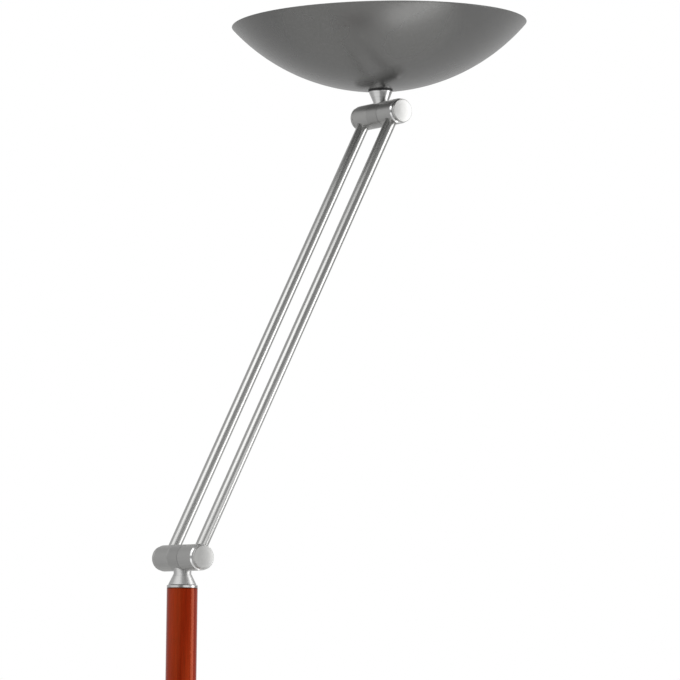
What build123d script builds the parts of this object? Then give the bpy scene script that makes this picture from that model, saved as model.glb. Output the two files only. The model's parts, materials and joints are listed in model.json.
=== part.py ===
from build123d import *
import os
from math import asin, atan2, cos, degrees, radians, sin, sqrt, tan

# Uplighter floor lamp with a jointed arm.
# A wooden column stands on a weighted round base. Its top carries a swivel, a cone and a barrel
# knuckle; two parallel rods lean from that knuckle to a second one, which carries a spun bowl with a
# tubular halogen lamp. The wires run inside: tie tubes, hollow nipples, hollow axles and rods.
# Millimetres. Origin: centre of the base on the floor. +Z is up, the arm leans towards +X, and the
# knuckles' axes lie along Y.

os.makedirs("parts", exist_ok=True)

# ---------------------------------------------------------------- driving dimensions
base_diameter = 280.0
base_height = 26.0  # floor to the flat seat of the column's foot
column_diameter = 35.0
column_top = 1170.0  # floor to the top end of the wood
knuckle_rise = 34.0  # top of the wood to the axis of the lower knuckle
arm_length = 600.0  # axis to axis
arm_lean = 27.0  # degrees from upright, in the photographed pose
barrel_diameter = 30.0
barrel_length = 87.0
rod_diameter = 14.0
rod_spacing = 56.0
bowl_diameter = 352.0
bowl_depth = 78.2  # outside, seat to rim
bowl_tilt = 2.1  # degrees the bowl leans back, away from the arm's lean

# walls and stock
cover_wall = 1.2
bowl_wall = 1.5
rod_wall = 1.6
felt_thickness = 3.0
tube_diameter = 10.0  # tie tubes and nipples, M10 x 1
tube_bore = 6.0
axle_diameter = 8.0  # M8, hollow
axle_bore = 4.6

# clearances
running_gap = 0.05  # radial, shafts in their holes
press_gap = 0.02  # radial, between pieces that are fixed to each other
turning_gap = 0.2  # radial, washers and springs round their shafts
swivel_seam = 0.5  # between the swivel's two halves, filled by its washer
knuckle_seam = 0.3  # between a hub and its cheeks, filled by the friction washers

# ---------------------------------------------------------------- frames
lower_axis = Vector(0, 0, column_top + knuckle_rise)
lean = radians(arm_lean)
tilt = radians(bowl_tilt)
arm_direction = Vector(sin(lean), 0, cos(lean))
upper_axis = lower_axis + arm_direction * arm_length

# Each local frame has its own Z along what it carries, and its Y along the knuckles' axes.
floor_frame = Plane.XY
arm_frame = Plane(lower_axis, x_dir=(cos(lean), 0, -sin(lean)), z_dir=arm_direction)
arm_end_frame = Plane(upper_axis, x_dir=(-cos(lean), 0, sin(lean)), z_dir=-arm_direction)
post_frame = Plane(lower_axis, x_dir=(-1, 0, 0), z_dir=(0, 0, -1))
head_frame = Plane(upper_axis, x_dir=(cos(tilt), 0, sin(tilt)), z_dir=(-sin(tilt), 0, cos(tilt)))


def local(frame, plane, offset=0.0):
    """A standard plane of a local frame, moved along its own normal."""
    return Plane(frame.location * plane.offset(offset).location)


def upright(frame):
    return Axis(frame.origin, frame.z_dir)


def crosswise(frame):
    return Axis(frame.origin, frame.y_dir)


def ring(frame, z_low, z_high, r_in, r_out):
    """A plain washer, tube or ferrule about a frame's Z axis."""
    with BuildPart() as piece:
        with BuildSketch(local(frame, Plane.XY, z_low)):
            Circle(r_out)
            if r_in:
                Circle(r_in, mode=Mode.SUBTRACT)
        extrude(amount=z_high - z_low)
    return piece.part


nut_crown = 3  # degrees of taper that turns a nut's corners off


def hex_nut(plane, across_flats, r_bore, height):
    """A hexagon nut standing on a plane, with its top corners turned off."""
    corner_radius = across_flats / sqrt(3)
    with BuildPart() as piece:
        with BuildSketch(plane):
            RegularPolygon(corner_radius, 6)
        extrude(amount=height)
        with BuildSketch(plane):
            Circle(corner_radius)
        extrude(amount=height, taper=nut_crown, mode=Mode.INTERSECT)
        with BuildSketch(plane):
            Circle(r_bore)
        extrude(amount=height, mode=Mode.SUBTRACT)
    return piece.part


def save(part, name):
    part.label = name
    export_step(part, f"parts/{name}.step")


# ---------------------------------------------------------------- base
base_radius = base_diameter / 2
cover_lift = 1.5  # cover's lower edge above the floor
cover_edge_height = 20.0  # floor to the outer end of the cover's sloping top
cover_edge_round = 6.0
seat_radius = 36.0  # flat middle of the cover
weight_gap = 0.4  # between the weight and the cover
weight_bottom = felt_thickness
weight_radius = base_radius - cover_wall - weight_gap
chamber_radius = 22.0  # nut chamber under the column
chamber_top = weight_bottom + 8.0
channel_width = 10.0
felt_inset = 3.0  # felt's edge inside the weight's
seat_blend = 2.0  # width of the step in the weight under the cover's seat
slope = atan2(base_height - cover_edge_height, base_radius - seat_radius)

# The cover is a shallow pressed cone with a flat seat in the middle and a rolled shoulder.
dimmer_radius = 88.0  # column axis to the dimmer's axis
dimmer_height = base_height - (dimmer_radius - seat_radius) * tan(slope)
dimmer_frame = Plane(
    (0, -dimmer_radius, dimmer_height), x_dir=(1, 0, 0), z_dir=(0, -sin(slope), cos(slope))
)
bush_radius = 5.0  # threaded bush of the dimmer
gland_height = 8.4
gland_thread_radius = 5.0
gland_frame = Plane((-base_radius, 0, gland_height), x_dir=(0, 0, 1), z_dir=(-1, 0, 0))

column_hole = tube_diameter / 2 + press_gap
cover_inside = base_radius - cover_wall
inside_edge_height = cover_edge_height - cover_wall / cos(slope) + cover_wall * tan(slope)

with BuildPart() as base_cover:
    with BuildSketch(Plane.XZ) as cover_section:
        Polygon(
            (base_radius, cover_lift),
            (base_radius, cover_edge_height),
            (seat_radius, base_height),
            (column_hole, base_height),
            (column_hole, base_height - cover_wall),
            (seat_radius - cover_wall * tan(slope / 2), base_height - cover_wall),
            (cover_inside, inside_edge_height),
            (cover_inside, cover_lift),
        )
        outer_corner = cover_section.vertices().sort_by_distance((base_radius, cover_edge_height))[0]
        fillet(outer_corner, radius=cover_edge_round)
        inner_corner = cover_section.vertices().sort_by_distance((cover_inside, inside_edge_height))[0]
        fillet(inner_corner, radius=cover_edge_round - cover_wall)
    revolve(axis=Axis.Z)
    with BuildSketch(local(dimmer_frame, Plane.XY)):
        Circle(bush_radius + press_gap)
    extrude(amount=2 * cover_wall, both=True, mode=Mode.SUBTRACT)
    with BuildSketch(local(gland_frame, Plane.XY)):
        Circle(gland_thread_radius + press_gap)
    extrude(amount=2 * cover_wall, both=True, mode=Mode.SUBTRACT)
save(base_cover.part, "base_cover")

# The weight follows the cover's inside. Below it has the nut chamber, a window for the dimmer and the
# channels that lead the wires from the gland to the dimmer and on to the middle.
module_length, module_width, module_height = 48.0, 32.0, 11.0
module_corner = 2.0
window_margin = 3.0
notch_width, notch_depth = 24.0, 20.0  # room for the gland's inner nut

with BuildPart() as base_weight:
    with BuildSketch(Plane.XZ):
        inner_drop = cover_wall / cos(slope) + weight_gap
        Polygon(
            (0, weight_bottom),
            (weight_radius, weight_bottom),
            (weight_radius, cover_edge_height - cover_edge_round),
            (weight_radius - cover_edge_round, cover_edge_height - inner_drop),
            (seat_radius, base_height - inner_drop),
            (seat_radius - seat_blend, base_height - cover_wall),
            (0, base_height - cover_wall),
        )
    revolve(axis=Axis.Z)
    with Locations((0, 0, base_height)):
        Hole(column_hole)
    with BuildSketch(Plane.XY.offset(weight_bottom)):
        Circle(chamber_radius)
        with Locations((-base_radius / 2, 0)):
            Rectangle(base_radius, channel_width)
        with Locations((0, -dimmer_radius / 2)):
            Rectangle(channel_width, dimmer_radius)
    extrude(amount=chamber_top - weight_bottom, mode=Mode.SUBTRACT)
    with BuildSketch(Plane.XY.offset(weight_bottom)):
        with Locations((0, -dimmer_radius)):
            RectangleRounded(
                module_length + 2 * window_margin, module_width + 2 * window_margin, window_margin
            )
        with Locations((-base_radius, 0)):
            Rectangle(2 * notch_depth, notch_width)
    extrude(amount=base_height, mode=Mode.SUBTRACT)
save(base_weight.part, "base_weight")

with BuildPart() as base_felt:
    with BuildSketch(Plane.XY):
        Circle(weight_radius - felt_inset)
    extrude(amount=felt_thickness)
save(base_felt.part, "base_felt")

# Cord gland: a flanged bush through the cover's wall, with a nut behind it.
gland_flange = 4.0
gland_flange_radius = 6.5
gland_flange_chamfer = 1.2
gland_stand_off = 0.1  # the flat flange on the round wall
gland_thread_length = 12.0
gland_bore = 3.2
gland_nut_across, gland_nut_height = 13.0, 3.0
gland_nut_gap = 0.4  # the flat nut inside the round wall
gland_seat = local(gland_frame, Plane.XY, gland_stand_off)
with BuildPart() as cord_gland:
    with BuildSketch(gland_seat):
        Circle(gland_flange_radius)
    extrude(amount=gland_flange)
    chamfer(cord_gland.faces().sort_by(Axis.X)[0].edges(), length=gland_flange_chamfer)
    with BuildSketch(gland_seat):
        Circle(gland_thread_radius)
    extrude(amount=-gland_thread_length)
    with BuildSketch(gland_seat):
        Circle(gland_bore)
    extrude(amount=gland_thread_length, both=True, mode=Mode.SUBTRACT)
save(cord_gland.part, "cord_gland")
gland_nut_plane = local(gland_frame, Plane.XY, -cover_wall - gland_nut_gap - gland_nut_height)
save(
    hex_nut(gland_nut_plane, gland_nut_across, gland_thread_radius + press_gap, gland_nut_height),
    "cord_gland_nut",
)

# Rotary dimmer: module and threaded bush under the cover, a panel nut over it, and a shaft that turns
# in the bush and carries a foot-sized fluted knob.
bush_height = 7.0  # above the cover
panel_nut_height, panel_nut_across = 2.5, 14.0
shaft_radius = 3.0
shaft_well = 6.0  # bush's bore below the module's top
shaft_end_gap = 0.3
shaft_below_top = 3.0
module_top = -cover_wall - 0.5
knob_gap = 0.8  # knob above the cover
knob_radius, knob_height = 24.0, 15.0
knob_top_chamfer = 1.5
knob_rim_wall, knob_top_wall, knob_boss_wall = 5.0, 4.0, 4.0
cap_recess, cap_rise = 1.0, 0.2
cap_recess_radius = 17.0
with BuildPart() as dimmer_module:
    with BuildSketch(local(dimmer_frame, Plane.XY, module_top - module_height)):
        RectangleRounded(module_length, module_width, module_corner)
    extrude(amount=module_height)
    with BuildSketch(local(dimmer_frame, Plane.XY, module_top)):
        Circle(bush_radius)
    extrude(amount=bush_height - module_top)
    with BuildSketch(local(dimmer_frame, Plane.XY, bush_height)):
        Circle(shaft_radius + running_gap)
    extrude(amount=module_top - bush_height - shaft_well, mode=Mode.SUBTRACT)
save(dimmer_module.part, "dimmer_module")
save(
    hex_nut(
        local(dimmer_frame, Plane.XY), panel_nut_across, bush_radius + press_gap, panel_nut_height
    ),
    "dimmer_panel_nut",
)

shaft_low = module_top - shaft_well + shaft_end_gap
shaft_high = knob_height - shaft_below_top
save(ring(dimmer_frame, shaft_low, shaft_high, 0, shaft_radius), "dimmer_shaft")

# The knob is a hollow moulding with a boss for the shaft and flutes round its rim, for a foot or a hand.
flute_count, flute_radius = 18, 2.6
flute_offset = 1.6  # flutes' centres outside the rim
knob_top = knob_gap + knob_height
with BuildPart() as dimmer_knob:
    with BuildSketch(local(dimmer_frame, Plane.XY, knob_gap)):
        Circle(knob_radius)
        with PolarLocations(knob_radius + flute_offset, flute_count):
            Circle(flute_radius, mode=Mode.SUBTRACT)
    extrude(amount=knob_height)
    with BuildSketch(local(dimmer_frame, Plane.XZ)):
        Polygon(
            (knob_radius - knob_top_chamfer, knob_top),
            (knob_radius, knob_top - knob_top_chamfer),
            (knob_radius + knob_top_chamfer, knob_top),
        )
    revolve(axis=upright(dimmer_frame), mode=Mode.SUBTRACT)
    with BuildSketch(local(dimmer_frame, Plane.XY, knob_gap)):
        Circle(knob_radius - knob_rim_wall)
        Circle(shaft_radius + knob_boss_wall, mode=Mode.SUBTRACT)
    extrude(amount=knob_height - knob_top_wall, mode=Mode.SUBTRACT)
    with BuildSketch(local(dimmer_frame, Plane.XY, knob_gap)):
        Circle(knob_radius - knob_rim_wall)
    extrude(amount=bush_height, mode=Mode.SUBTRACT)
    with BuildSketch(local(dimmer_frame, Plane.XY, knob_gap)):
        Circle(shaft_radius + press_gap)
    extrude(amount=shaft_high - knob_gap, mode=Mode.SUBTRACT)
    with BuildSketch(local(dimmer_frame, Plane.XY, knob_top)):
        Circle(cap_recess_radius)
    extrude(amount=-cap_recess, mode=Mode.SUBTRACT)
save(dimmer_knob.part, "dimmer_knob")
save(
    ring(dimmer_frame, knob_top - cap_recess, knob_top + cap_rise, 0, cap_recess_radius - press_gap),
    "dimmer_knob_cap",
)

# ---------------------------------------------------------------- column
column_radius = column_diameter / 2
foot_height = 26.0
foot_radius = 29.0
foot_edge = 1.5  # upright edge of the foot's flare
land_height = 3.0  # narrow cylindrical band next to the wood
spigot_radius = 10.0
spigot_length = 22.0
joint_height = 8.0
joint_chamfer = 0.5
socket_spare = 0.5  # a socket is this much deeper than what it holds
column_bottom = base_height + foot_height
joint_middle = (column_bottom + column_top) / 2
wire_hole_radius = tube_diameter / 2 + 1.0  # free hole in the wood round the tie tube
housing_radius = 12.0
housing_depth = 34.0
plug_radius = 9.5
tube_radius = tube_diameter / 2

with BuildPart() as column_foot:
    with BuildSketch(Plane.XZ):
        Polygon(
            (0, base_height),
            (foot_radius, base_height),
            (foot_radius, base_height + foot_edge),
            (column_radius, column_bottom - land_height),
            (column_radius, column_bottom),
            (spigot_radius, column_bottom),
            (spigot_radius, column_bottom + spigot_length),
            (0, column_bottom + spigot_length),
        )
    revolve(axis=Axis.Z)
    with Locations((0, 0, base_height)):
        Hole(tube_radius + press_gap)
save(column_foot.part, "column_foot")


def wood_section(z_low, z_high, top_radius, top_depth):
    """A turned wooden tube, bored at both ends for what it sits on and what sits in it."""
    with BuildPart() as wood:
        with BuildSketch(Plane.XY.offset(z_low)):
            Circle(column_radius)
            Circle(wire_hole_radius, mode=Mode.SUBTRACT)
        extrude(amount=z_high - z_low)
        with BuildSketch(Plane.XY.offset(z_low)):
            Circle(spigot_radius + press_gap)
        extrude(amount=spigot_length + socket_spare, mode=Mode.SUBTRACT)
        with BuildSketch(Plane.XY.offset(z_high)):
            Circle(top_radius + press_gap)
        extrude(amount=-top_depth - socket_spare, mode=Mode.SUBTRACT)
    return wood.part


joint_low = joint_middle - joint_height / 2
joint_high = joint_middle + joint_height / 2
save(wood_section(column_bottom, joint_low, spigot_radius, spigot_length), "column_lower")
save(wood_section(joint_high, column_top, housing_radius, housing_depth), "column_upper")

# The two wooden sections meet at a slim ferrule, into which both tie tubes are screwed.
with BuildPart() as column_joint:
    with BuildSketch(Plane.XY.offset(joint_low)):
        Circle(column_radius)
    extrude(amount=joint_height)
    with BuildSketch(Plane.XY.offset(joint_low - spigot_length)):
        Circle(spigot_radius)
    extrude(amount=joint_height + 2 * spigot_length)
    with BuildSketch(Plane.XY.offset(joint_low - spigot_length)):
        Circle(tube_radius + press_gap)
    extrude(amount=joint_height + 2 * spigot_length, mode=Mode.SUBTRACT)
    rims = column_joint.edges().filter_by(GeomType.CIRCLE).group_by(SortBy.RADIUS)[-1]
    chamfer(rims, length=joint_chamfer)
save(column_joint.part, "column_joint")

nut_height = 5.0
nut_across = 14.0
foot_washer_height, foot_washer_radius = 1.6, 12.0
tube_end = 1.0  # each tie tube ends this far from the ferrule's middle
tube_past_nut = 1.0
lower_tube_bottom = chamber_top - foot_washer_height - nut_height - tube_past_nut
save(
    ring(
        floor_frame,
        lower_tube_bottom,
        joint_middle - tube_end,
        tube_bore / 2,
        tube_radius,
    ),
    "lower_tie_tube",
)
save(
    ring(
        floor_frame,
        chamber_top - foot_washer_height,
        chamber_top,
        tube_radius + press_gap,
        foot_washer_radius,
    ),
    "foot_washer",
)
save(
    hex_nut(
        Plane.XY.offset(chamber_top - foot_washer_height - nut_height),
        nut_across,
        tube_radius + press_gap,
        nut_height,
    ),
    "foot_nut",
)

# ---------------------------------------------------------------- swivel on top of the column
# The housing is fixed in the wood; only its narrow land shows. The hollow nipple turns in it, held down
# by a disc spring and a nut. A pin in the cone runs in a groove of the land and stops the swivel.
swivel_range = 165.0  # degrees each way
bearing_length = 10.0
stop_circle_radius = 12.0
stop_pin_radius = 1.25
stop_groove_depth = 2.2
stop_gap = 0.35
stop_pin_tip_gap = 0.4  # between a pin's tip and the bottom of its groove
land_chamfer = 0.3
land_top = column_top + land_height
cone_bottom = land_top + swivel_seam
chamber_ceiling = land_top - bearing_length
spring_height = 1.5
nipple_past_nut = 2.5
nipple_low = chamber_ceiling - spring_height - nut_height - nipple_past_nut
plug_top = nipple_low - 6.0  # room for the wires to turn with the nipple
nipple_reach = 6.0  # each nipple's end, from the axis of its hub


def disc_spring(frame, axis_plane, axis, low, high, r_in, r_out):
    """A conical disc spring: its outer rim bears at low, its inner rim at high."""
    thickness = abs(high - low) / 2 * (1 if high > low else -1)
    with BuildPart() as piece:
        with BuildSketch(local(frame, axis_plane)):
            Polygon(
                (low, r_out), (low + thickness, r_out), (high, r_in), (high - thickness, r_in)
            )
        revolve(axis=axis)
    return piece.part


swivel_stop_arc = CenterArc((0, 0), stop_circle_radius, 90 - swivel_range, 2 * swivel_range)
with BuildPart() as swivel_housing:
    with BuildSketch(Plane.XZ):
        Polygon(
            (0, column_top - housing_depth),
            (housing_radius, column_top - housing_depth),
            (housing_radius, column_top),
            (column_radius, column_top),
            (column_radius, land_top),
            (0, land_top),
        )
    revolve(axis=Axis.Z)
    with BuildSketch(Plane.XY.offset(land_top)):
        Circle(tube_radius + running_gap)
    extrude(amount=-2 * bearing_length, mode=Mode.SUBTRACT)
    with BuildSketch(Plane.XY.offset(chamber_ceiling)):
        Circle(plug_radius)
    extrude(amount=-housing_depth, mode=Mode.SUBTRACT)
    with BuildSketch(Plane.XY.offset(land_top)):
        SlotArc(swivel_stop_arc, 2 * (stop_pin_radius + stop_gap))
    extrude(amount=-stop_groove_depth, mode=Mode.SUBTRACT)
    land_rims = swivel_housing.edges().filter_by(GeomType.CIRCLE).group_by(SortBy.RADIUS)[-1]
    chamfer(land_rims, length=land_chamfer)
save(swivel_housing.part, "swivel_housing")

save(
    ring(
        floor_frame,
        column_top - housing_depth,
        plug_top,
        tube_radius + press_gap,
        plug_radius - press_gap,
    ),
    "swivel_plug",
)
save(
    ring(
        floor_frame,
        joint_middle + tube_end,
        plug_top - tube_end,
        tube_bore / 2,
        tube_radius,
    ),
    "upper_tie_tube",
)
swivel_washer_radius = stop_circle_radius - stop_pin_radius - stop_gap - turning_gap
save(
    ring(
        floor_frame,
        land_top,
        cone_bottom,
        tube_radius + turning_gap,
        swivel_washer_radius,
    ),
    "swivel_washer",
)
save(
    ring(
        floor_frame,
        nipple_low,
        lower_axis.Z - nipple_reach,
        tube_bore / 2,
        tube_radius,
    ),
    "swivel_nipple",
)
save(
    hex_nut(
        Plane.XY.offset(chamber_ceiling - spring_height - nut_height),
        nut_across,
        tube_radius + press_gap,
        nut_height,
    ),
    "swivel_nut",
)
# The spring's profile lies in the frame's ZX plane, whose first coordinate is the height.
save(
    disc_spring(
        floor_frame,
        Plane.ZX,
        Axis.Z,
        chamber_ceiling,
        chamber_ceiling - spring_height,
        tube_radius + turning_gap,
        plug_radius - running_gap - turning_gap,
    ),
    "swivel_spring",
)
stop_pin_length_in_cone = 4.0
stop_pin_tip = land_top - stop_groove_depth + stop_pin_tip_gap
with BuildPart() as swivel_stop_pin:
    with BuildSketch(Plane.XY.offset(stop_pin_tip)):
        with Locations((0, stop_circle_radius)):
            Circle(stop_pin_radius)
    extrude(amount=cone_bottom + stop_pin_length_in_cone - stop_pin_tip)
save(swivel_stop_pin.part, "swivel_stop_pin")

# ---------------------------------------------------------------- cones on the hubs
# Both cones are turned about their nipple and hollowed at the narrow end to sit on the barrel.
barrel_radius = barrel_diameter / 2
lower_cone_end = knuckle_rise - land_height - swivel_seam  # from the lower axis, downwards
lower_cone_wide, lower_cone_neck, lower_cone_length = 16.0, 10.0, 12.0
lower_cone_land = 0.3
upper_cone_end = 28.0  # from the upper axis, towards the bowl
upper_cone_wide, upper_cone_neck, upper_cone_length = 14.0, 8.75, 12.9
upper_cone_land = 0.8


def saddle_cone(frame, end, wide, neck, length, land, pin_circle=None):
    with BuildPart() as cone:
        with BuildSketch(local(frame, Plane.XZ)):
            Polygon(
                (0, barrel_radius / 2),
                (neck, barrel_radius / 2),
                (neck, end - land - length),
                (wide, end - land),
                (wide, end),
                (0, end),
            )
        revolve(axis=upright(frame))
        with BuildSketch(local(frame, Plane.XZ)):
            Circle(barrel_radius + press_gap)
        extrude(amount=barrel_length, both=True, mode=Mode.SUBTRACT)
        with BuildSketch(local(frame, Plane.XY)):
            Circle(tube_radius + press_gap)
        extrude(amount=2 * end, mode=Mode.SUBTRACT)
        if pin_circle:
            with BuildSketch(local(frame, Plane.XY, end)):
                with Locations((0, pin_circle)):
                    Circle(stop_pin_radius + press_gap)
            extrude(amount=-stop_pin_length_in_cone, mode=Mode.SUBTRACT)
    return cone.part


save(
    saddle_cone(
        post_frame,
        lower_cone_end,
        lower_cone_wide,
        lower_cone_neck,
        lower_cone_length,
        lower_cone_land,
        pin_circle=stop_circle_radius,
    ),
    "lower_cone",
)
save(
    saddle_cone(
        head_frame,
        upper_cone_end,
        upper_cone_wide,
        upper_cone_neck,
        upper_cone_length,
        upper_cone_land,
    ),
    "upper_cone",
)

# ---------------------------------------------------------------- barrel knuckles
# A hub, fixed to its cone, sits between two cheeks. A hollow axle bolt clamps the cheeks against it
# through friction washers and disc springs. Each cheek is bored along the axis for the nut and across
# it for a rod, and a plug screwed in from the end clamps the rod. One cheek fits all four places.
knuckle_range = 85.0  # degrees each way from straight
hub_half = 10.3
cheek_inner = hub_half + knuckle_seam
cheek_web = 5.2  # wall that the nut bears on
cheek_seam_chamfer = 0.15
cheek_end_chamfer = 1.5
cheek_end_groove = 0.8  # dark line between the cheek and its plug
plug_head = 3.7
plug_head_radius = 14.0
plug_edge_round = 1.3
plug_neck_chamfer = 0.3
plug_thread_radius = 11.0
plug_bore_past_rod = 2.0  # the plug's bore stops this far inside the rod's outer side
barrel_half = barrel_length / 2
cheek_outer = barrel_half - plug_head - cheek_end_groove
rod_radius = rod_diameter / 2
rod_offset = rod_spacing / 2
rod_depth = 12.0  # the rod's end goes this far past the knuckle's axis
nut_bore_radius = 8.5
axle_radius = axle_diameter / 2
axle_spring_height = 0.8
axle_nut_height = 4.0
axle_nut_across = 13.0
axle_half = cheek_inner + cheek_web + axle_spring_height + axle_nut_height
tilt_stop_circle = 10.0
tilt_pin_length = 7.0
tilt_pin_reach = 2.0  # into the cheek's groove
rod_end_gap = 0.3
socket_edge = 0.4  # chamfer where a rod enters
wire_slot_half = 3.0
wire_slot_edge = 0.8  # the slot in the bolt is cut this far past its axis
tilt_stop_arc = CenterArc((0, 0), tilt_stop_circle, 90 - knuckle_range, 2 * knuckle_range)
SIDES = {"left": 1, "right": -1}


def hub(frame):
    """The middle of a barrel. The frame's Z points to its cone."""
    with BuildPart() as piece:
        with BuildSketch(local(frame, Plane.XZ)):
            Circle(barrel_radius)
            Circle(axle_radius + running_gap, mode=Mode.SUBTRACT)
        extrude(amount=hub_half, both=True)
        with BuildSketch(local(frame, Plane.XY, nipple_reach - socket_spare)):
            Circle(tube_radius + press_gap)
        extrude(amount=barrel_radius, mode=Mode.SUBTRACT)
        with BuildSketch(local(frame, Plane.XY)):
            Circle(axle_bore / 2)
        extrude(amount=barrel_radius, mode=Mode.SUBTRACT)
        for side in SIDES.values():
            with BuildSketch(local(frame, Plane.XZ, -side * hub_half)):
                with Locations((0, -tilt_stop_circle)):
                    Circle(stop_pin_radius + press_gap)
            extrude(amount=side * (tilt_pin_length - knuckle_seam - tilt_pin_reach), mode=Mode.SUBTRACT)
    return piece.part


def stop_pins(frame):
    """Two pins pressed into a hub's faces, opposite its cone."""
    with BuildPart() as pins:
        for side in SIDES.values():
            tip = cheek_inner + tilt_pin_reach
            with BuildSketch(local(frame, Plane.XZ, -side * tip)):
                with Locations((0, -tilt_stop_circle)):
                    Circle(stop_pin_radius)
            extrude(amount=side * tilt_pin_length)
    return pins.part


def cheek(frame, side):
    """One side of a barrel. The frame's Z points along the rod that leaves it."""
    with BuildPart() as piece:
        with BuildSketch(local(frame, Plane.YZ)):
            half_section = [
                (cheek_inner, axle_radius + press_gap),
                (cheek_inner, barrel_radius - cheek_seam_chamfer),
                (cheek_inner + cheek_seam_chamfer, barrel_radius),
                (cheek_outer - cheek_end_chamfer, barrel_radius),
                (cheek_outer, barrel_radius - cheek_end_chamfer),
                (cheek_outer, plug_thread_radius + press_gap),
                (rod_offset + rod_radius - plug_bore_past_rod, plug_thread_radius + press_gap),
                (rod_offset + rod_radius - plug_bore_past_rod, nut_bore_radius),
                (cheek_inner + cheek_web, nut_bore_radius),
                (cheek_inner + cheek_web, axle_radius + press_gap),
            ]
            Polygon(*[(side * along, radius) for along, radius in half_section])
        revolve(axis=crosswise(frame))
        with BuildSketch(local(frame, Plane.XY, -rod_depth - rod_end_gap)):
            with Locations((0, side * rod_offset)):
                Circle(rod_radius + press_gap)
        extrude(amount=rod_depth + barrel_diameter, mode=Mode.SUBTRACT)
        socket_mouth = piece.edges().filter_by(GeomType.BSPLINE).sort_by(upright(frame))[-1]
        chamfer(socket_mouth, length=socket_edge)
        with BuildSketch(local(frame, Plane.XZ, -side * cheek_inner)):
            SlotArc(tilt_stop_arc, 2 * (stop_pin_radius + stop_gap))
        extrude(amount=-side * (tilt_pin_reach + stop_pin_tip_gap), mode=Mode.SUBTRACT)
    return piece.part


def clamp_plug(frame, side):
    """The barrel's end cap: its thread reaches in to the rod."""
    head_low = barrel_half - plug_head
    with BuildPart() as piece:
        with BuildSketch(local(frame, Plane.YZ)) as section:
            half_section = [
                (rod_offset + rod_radius + press_gap, 0),
                (rod_offset + rod_radius + press_gap, plug_thread_radius),
                (head_low, plug_thread_radius),
                (head_low, plug_head_radius - plug_neck_chamfer),
                (head_low + plug_neck_chamfer, plug_head_radius),
                (barrel_half, plug_head_radius),
                (barrel_half, 0),
            ]
            Polygon(*[(side * along, radius) for along, radius in half_section])
            edge = section.vertices().sort_by_distance((side * barrel_half, plug_head_radius))[0]
            fillet(edge, radius=plug_edge_round)
        revolve(axis=crosswise(frame))
    return piece.part


def outward(frame, side, distance):
    """A plane square to the knuckle's axis, facing away from its middle."""
    return local(frame, Plane.ZX if side > 0 else Plane.XZ, distance)


nut_seat = cheek_inner + cheek_web + axle_spring_height

save(hub(post_frame), "lower_hub")
save(hub(head_frame), "upper_hub")
save(stop_pins(post_frame), "lower_stop_pins")
save(stop_pins(head_frame), "upper_stop_pins")

knuckles = {"lower": arm_frame, "upper": arm_end_frame}
for level, frame in knuckles.items():
    for hand, side in SIDES.items():
        save(cheek(frame, side), f"{level}_cheek_{hand}")
        save(clamp_plug(frame, side), f"{level}_end_plug_{hand}")

# Axle bolt: a thin hexagon head on the right, a thread on the left, a bore for the wires and, in the
# middle, a cut that lets them in from the hub at any angle.
with BuildPart() as axle_bolts:
    for frame in knuckles.values():
        with BuildSketch(local(frame, Plane.XZ)):
            Circle(axle_radius)
        extrude(amount=axle_half, both=True)
        with BuildSketch(outward(frame, -1, nut_seat)):
            RegularPolygon(axle_nut_across / sqrt(3), 6)
        extrude(amount=axle_nut_height)
        with BuildSketch(local(frame, Plane.XZ)):
            Circle(axle_bore / 2)
        extrude(amount=2 * axle_half, both=True, mode=Mode.SUBTRACT)
        with BuildSketch(local(frame, Plane.YZ)):
            with Locations((0, wire_slot_edge - axle_radius)):
                Rectangle(2 * wire_slot_half, axle_diameter)
        extrude(amount=axle_diameter, both=True, mode=Mode.SUBTRACT)
save(axle_bolts.part, "axle_bolts")

with BuildPart() as axle_nuts:
    for frame in knuckles.values():
        add(hex_nut(outward(frame, 1, nut_seat), axle_nut_across, axle_radius + press_gap, axle_nut_height))
save(axle_nuts.part, "axle_nuts")

with BuildPart() as axle_springs:
    for frame in knuckles.values():
        for side in SIDES.values():
            add(
                disc_spring(
                    frame,
                    Plane.YZ,
                    crosswise(frame),
                    side * (cheek_inner + cheek_web),
                    side * nut_seat,
                    axle_radius + turning_gap,
                    nut_bore_radius - running_gap - turning_gap,
                )
            )
save(axle_springs.part, "axle_springs")

friction_radius = tilt_stop_circle - stop_pin_radius - stop_gap - turning_gap
with BuildPart() as friction_washers:
    for frame in knuckles.values():
        for side in SIDES.values():
            with BuildSketch(outward(frame, side, hub_half)):
                Circle(friction_radius)
                Circle(axle_radius + turning_gap, mode=Mode.SUBTRACT)
            extrude(amount=knuckle_seam)
save(friction_washers.part, "friction_washers")

# ---------------------------------------------------------------- rods
cross_hole_radius = 2.75  # lets the wires pass between the axle and the rod
for hand, side in SIDES.items():
    with BuildPart() as rod:
        with BuildSketch(local(arm_frame, Plane.XY, -rod_depth)):
            with Locations((0, side * rod_offset)):
                Circle(rod_radius)
                Circle(rod_radius - rod_wall, mode=Mode.SUBTRACT)
        extrude(amount=arm_length + 2 * rod_depth)
        for height in (0, arm_length):
            with BuildSketch(local(arm_frame, Plane.XZ, -side * rod_offset)):
                with Locations((0, height)):
                    Circle(cross_hole_radius)
            extrude(amount=side * rod_diameter, mode=Mode.SUBTRACT)
    save(rod.part, f"rod_{hand}")

# ---------------------------------------------------------------- bowl
bowl_washer_height = 1.6
bowl_washer_radius = 14.5
bowl_seat = upper_cone_end + bowl_washer_height
bowl_flat_radius = 15.0
hem_width = 6.0  # the rim is folded back inside by this much
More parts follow.
